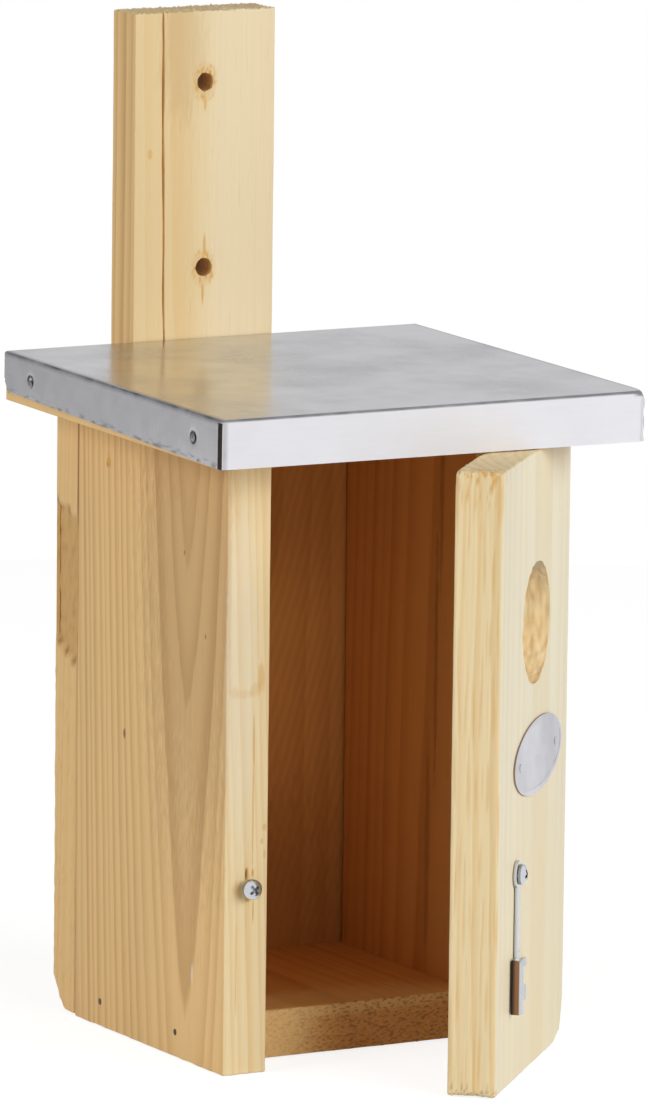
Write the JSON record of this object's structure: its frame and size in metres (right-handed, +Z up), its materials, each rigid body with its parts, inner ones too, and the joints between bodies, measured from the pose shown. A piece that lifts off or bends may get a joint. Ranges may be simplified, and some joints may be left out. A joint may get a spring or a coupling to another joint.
{
  "type": "bird nest box",
  "caption": "Softwood bird nest box with a folded metal roof, a wall batten with hanging holes, and a hinged front with a round entrance that a swinging hook latches shut.",
  "frame": {"origin": "midway between the two hanging holes, on the rear face of the batten that lies on the wall", "axes": "+X to the right seen from the front, +Y into the wall, +Z up along the batten"},
  "size_m": [0.18, 0.2315, 0.3778],
  "materials": {
    "planed_pine": "planed and sawn, untreated",
    "roof_aluminium": "rolled sheet, folded",
    "plate_aluminium": "satin, raised rim",
    "plated_steel": "bright zinc plate",
    "hinge_steel": "zinc plate",
    "nail_steel": "bright drawn wire"
  },
  "bodies": {
    "box": {"left_side_board": "planed_pine", "right_side_board": "planed_pine", "back_board": "planed_pine", "floor_board": "planed_pine", "hanging_batten": "planed_pine", "roof_board": "planed_pine", "lower_hinge_box_leaf": "hinge_steel", "lower_hinge_pin": "hinge_steel", "upper_hinge_box_leaf": "hinge_steel", "upper_hinge_pin": "hinge_steel", "hinge_box_screws": "plated_steel", "batten_screws": "plated_steel", "catch_screw": "plated_steel", "floor_nails": "nail_steel", "back_nails": "nail_steel", "roof_nails": "nail_steel", "roof_sheet_nails": "nail_steel", "roof_sheet": "roof_aluminium"},
    "door": {"door_board": "planed_pine", "lower_hinge_door_leaf": "hinge_steel", "upper_hinge_door_leaf": "hinge_steel", "hinge_door_screws": "plated_steel", "oval_plate": "plate_aluminium", "oval_plate_nails": "nail_steel", "hook_screw": "plated_steel"},
    "hook": {"latch_hook": "plated_steel"}
  },
  "joints": [
    {"name": "door_swing", "type": "hinge", "parent": "box", "child": "door", "pos_m": [0.07365, -0.13495, -0.20065], "axis": [0, 0, 1], "range_deg": [-46.9, 133.1]},
    {"name": "hook_swing", "type": "hinge", "parent": "door", "child": "hook", "pos_m": [0.02763, -0.21083, -0.23715], "axis": [-0.7302, 0.6833, 0], "range_deg": [-100, 150]}
  ]
}
